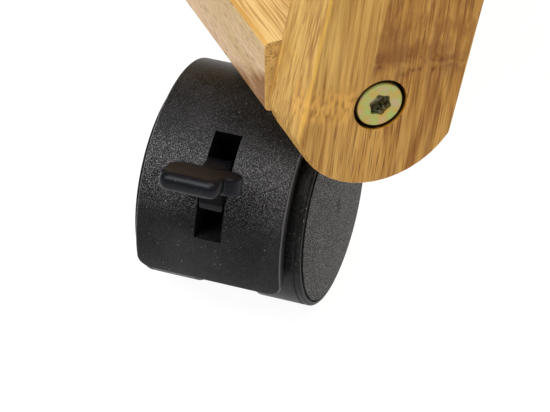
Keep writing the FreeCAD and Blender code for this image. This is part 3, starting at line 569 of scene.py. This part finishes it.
materials = {
    "front_leg": leg_material("front", -1),
    "back_leg": leg_material("back", 1),
    "rail": bamboo(
        "bamboo_rail", (0, 0, lower_rail_underside), y_axis, z_axis, x_axis, layer=20.0, joint_first=110.0,
        seed=8.0, pale=srgb(240, 206, 138), deep=srgb(206, 154, 82), dark=srgb(150, 98, 40),
        line_amount=0.7, dash_amount=0.4, extra=rail_extra,
    ),
    "end_rail": bamboo("bamboo_end_rail", centre, z_axis, x_axis, y_axis, seed=15.0),
    "slat": bamboo(
        "bamboo_slat", (slat_pitch / 2, 0, 0), x_axis, z_axis, y_axis,
        strip=17.0, board=slat_pitch, seed=21.0,
    ),
    "tray_side": bamboo("bamboo_tray_side", centre, z_axis, y_axis, x_axis, seed=33.0),
    "tray_end": bamboo("bamboo_tray_end", centre, z_axis, x_axis, y_axis, seed=41.0),
    "tray_base": bamboo("bamboo_tray_base", centre, y_axis, z_axis, x_axis, seed=52.0),
    "dowel": bamboo(
        "dowel_wood", centre, x_axis, z_axis, y_axis, line_amount=0.2, dash_amount=0.2, seed=60.0,
    ),
    "wheel": nylon(
        "castor_tread_nylon", srgb(20, 20, 20), srgb(40, 39, 37),
        grain_mm=0.8, roughness=0.42, specular=0.12, relief_mm=0.006, dust=0.16,
    ),
    "lever": nylon(
        "castor_lever_nylon", srgb(6, 8, 14), srgb(13, 16, 25),
        grain_mm=2.2, roughness=0.34, specular=0.20, relief_mm=0.10, dust=0.01, shaded=(38.9, 46.0),
    ),
    "yellow_zinc": plated(
        "yellow_zinc", (srgb(154, 172, 100), srgb(188, 152, 78), srgb(184, 156, 124)),
        roughness=0.40, patch_mm=3.0, socket_x=leg_outer_x - 0.6,
    ),
    "steel": plated(
        "bright_zinc", (srgb(176, 178, 182), srgb(160, 162, 166), srgb(186, 184, 178)),
        roughness=0.34, patch_mm=9.0,
    ),
}

for castor, degrees in castor_turns.items():
    axle_direction = (math.cos(math.radians(degrees)), math.sin(math.radians(degrees)), 0.0)
    materials[castor + "_hood"] = nylon(
        castor + "_hood_nylon", srgb(6, 6, 7), srgb(120, 118, 120),
        grain_mm=0.26, roughness=0.38, specular=0.15, relief_mm=0.07,
        cover=(0.51, 0.62), glint_band_share=0.9, dust=0.08, axle=axle_direction, rim_highlight=0.5,
    )
    materials[castor + "_cap"] = nylon(
        castor + "_cap_nylon", srgb(1, 1, 1), srgb(136, 135, 129),
        grain_mm=0.27, roughness=0.52, specular=0.08, relief_mm=0.08,
        cover=(0.545, 0.595), axle=axle_direction, face_only=True,
    )

# Which material each node takes, by the first of these words in its name
wanted = (
    *((castor + "_castor_hood", castor + "_hood") for castor in castor_turns),
    *((castor + "_castor_left_wheel_cap", castor + "_cap") for castor in castor_turns),
    *((castor + "_castor_right_wheel_cap", castor + "_cap") for castor in castor_turns),
    ("barrel_nuts", "steel"), ("castor_sockets", "steel"), ("_axle", "steel"), ("_stem", "steel"),
    ("bolts", "yellow_zinc"), ("screws", "yellow_zinc"), ("dowels", "dowel"),
    ("_wheel", "wheel"), ("_brake_lever", "lever"),
    ("end_rail", "end_rail"), ("_rail", "rail"), ("_slats", "slat"),
    ("tray_base", "tray_base"), ("tray_cleats", "tray_base"), ("_end", "tray_end"), ("_side", "tray_side"),
    ("front_left_leg", "front_leg"), ("front_right_leg", "front_leg"), ("_leg", "back_leg"),
)
for name, piece in nodes.items():
    material_name = next(material for word, material in wanted if word in name)
    piece.data.materials.clear()
    piece.data.materials.append(materials[material_name])


# Brake levers: the same shape with soft moulded edges

def softened(name, voxel_mm, rounds, low_mm):
    """Replaces a lever by its shape on an even mesh, with soft edges above a height and plain below."""
    piece = bpy.data.objects.new(name + "_moulding", nodes[name].data.copy())
    bpy.context.scene.collection.objects.link(piece)
    remesh = piece.modifiers.new("even_mesh", "REMESH")
    remesh.mode = "VOXEL"
    remesh.voxel_size = voxel_mm / mm_per_metre
    remesh.use_smooth_shade = True
    even = piece.evaluated_get(bpy.context.evaluated_depsgraph_get())
    piece.data = bpy.data.meshes.new_from_object(even)
    piece.modifiers.clear()
    upper = piece.vertex_groups.new(name="upper_part")
    high_points = [point.index for point in piece.data.vertices if point.co.z > low_mm / mm_per_metre]
    upper.add(high_points, 1.0, "REPLACE")
    soften = piece.modifiers.new("soft_edges", "SMOOTH")
    soften.factor = 0.5
    soften.iterations = rounds
    soften.vertex_group = upper.name
    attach(piece, nodes[name]["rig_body"])
    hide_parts(name)


for name in ("front_right_castor_brake_lever", "back_left_castor_brake_lever"):
    softened(name, voxel_mm=0.3, rounds=22, low_mm=34.0)


# Floor, backdrop, lights and camera

def stage_box(name, reach, foot, height, base, glow):
    """Square ground, with walls around it where a height is given."""
    corners = [(-reach, -reach, foot), (reach, -reach, foot), (reach, reach, foot), (-reach, reach, foot)]
    faces = [(0, 1, 2, 3)]
    if height:
        corners += [(x, y, height) for x, y, _ in corners]
        faces += [(0, 1, 5, 4), (1, 2, 6, 5), (2, 3, 7, 6), (3, 0, 4, 7)]
    mesh = bpy.data.meshes.new(name)
    mesh.from_pydata(corners, [], faces)
    piece = bpy.data.objects.new(name, mesh)
    bpy.context.scene.collection.objects.link(piece)
    shader = Shader(name + "_paint")
    shader.look(Base_Color=(base, base, base, 1.0), Roughness=0.9, Specular_IOR_Level=0.1)
    shader.look(Emission_Color=white, Emission_Strength=glow)
    mesh.materials.append(shader.material)
    return piece


def backdrop():
    """White ground just below the floor's level and walls far around it, which light nothing."""
    room = stage_box("backdrop", reach=40.0, foot=-0.01, height=40.0, base=0.0, glow=1.0)
    room.visible_diffuse = False
    room.visible_glossy = False
    room.visible_transmission = False
    room.visible_shadow = False


def soft_light(name, place, target, size, power):
    light = bpy.data.lights.new(name, "AREA")
    light.size = size
    light.energy = power
    lamp = bpy.data.objects.new(name, light)
    lamp.location = place
    lamp.rotation_euler = (Vector(target) - Vector(place)).to_track_quat("-Z", "Y").to_euler()
    bpy.context.scene.collection.objects.link(lamp)


def camera():
    """The photograph's camera, near the front right castor and looking down on it."""
    eye = (0.713107, -0.439427, 0.409913)
    right = (0.390108, 0.920769, -0.000329)
    up = (-0.554796, 0.235339, 0.798008)
    back = (0.734859, -0.311127, 0.602646)
    data = bpy.data.cameras.new("camera")
    data.sensor_width = 36.0
    data.lens = 168.8
    data.clip_start = 0.01
    view = bpy.data.objects.new("camera", data)
    view.matrix_world = Matrix.Translation(eye) @ Matrix((right, up, back)).transposed().to_4x4()
    bpy.context.scene.collection.objects.link(view)
    bpy.context.scene.camera = view


def surroundings():
    world = bpy.data.worlds.new("studio")
    world.use_nodes = True
    background = world.node_tree.nodes["Background"]
    background.inputs["Color"].default_value = white
    background.inputs["Strength"].default_value = 0.3
    bpy.context.scene.world = world
    bpy.context.scene.view_settings.view_transform = "Standard"


stage_box("floor", reach=6.0, foot=0.0, height=0.0, base=0.16, glow=0.95)
backdrop()
soft_light("key_softbox", place=(0.65, -1.55, 2.1), target=(0.1, -0.1, 0.2), size=1.3, power=34)
soft_light("side_softbox", place=(2.6, 0.9, 1.5), target=(0.0, 0.0, 0.3), size=1.6, power=2.5)
soft_light("top_softbox", place=(0.5, 0.2, 2.8), target=(0.2, 0.0, 0.2), size=2.0, power=46)
camera()
surroundings()
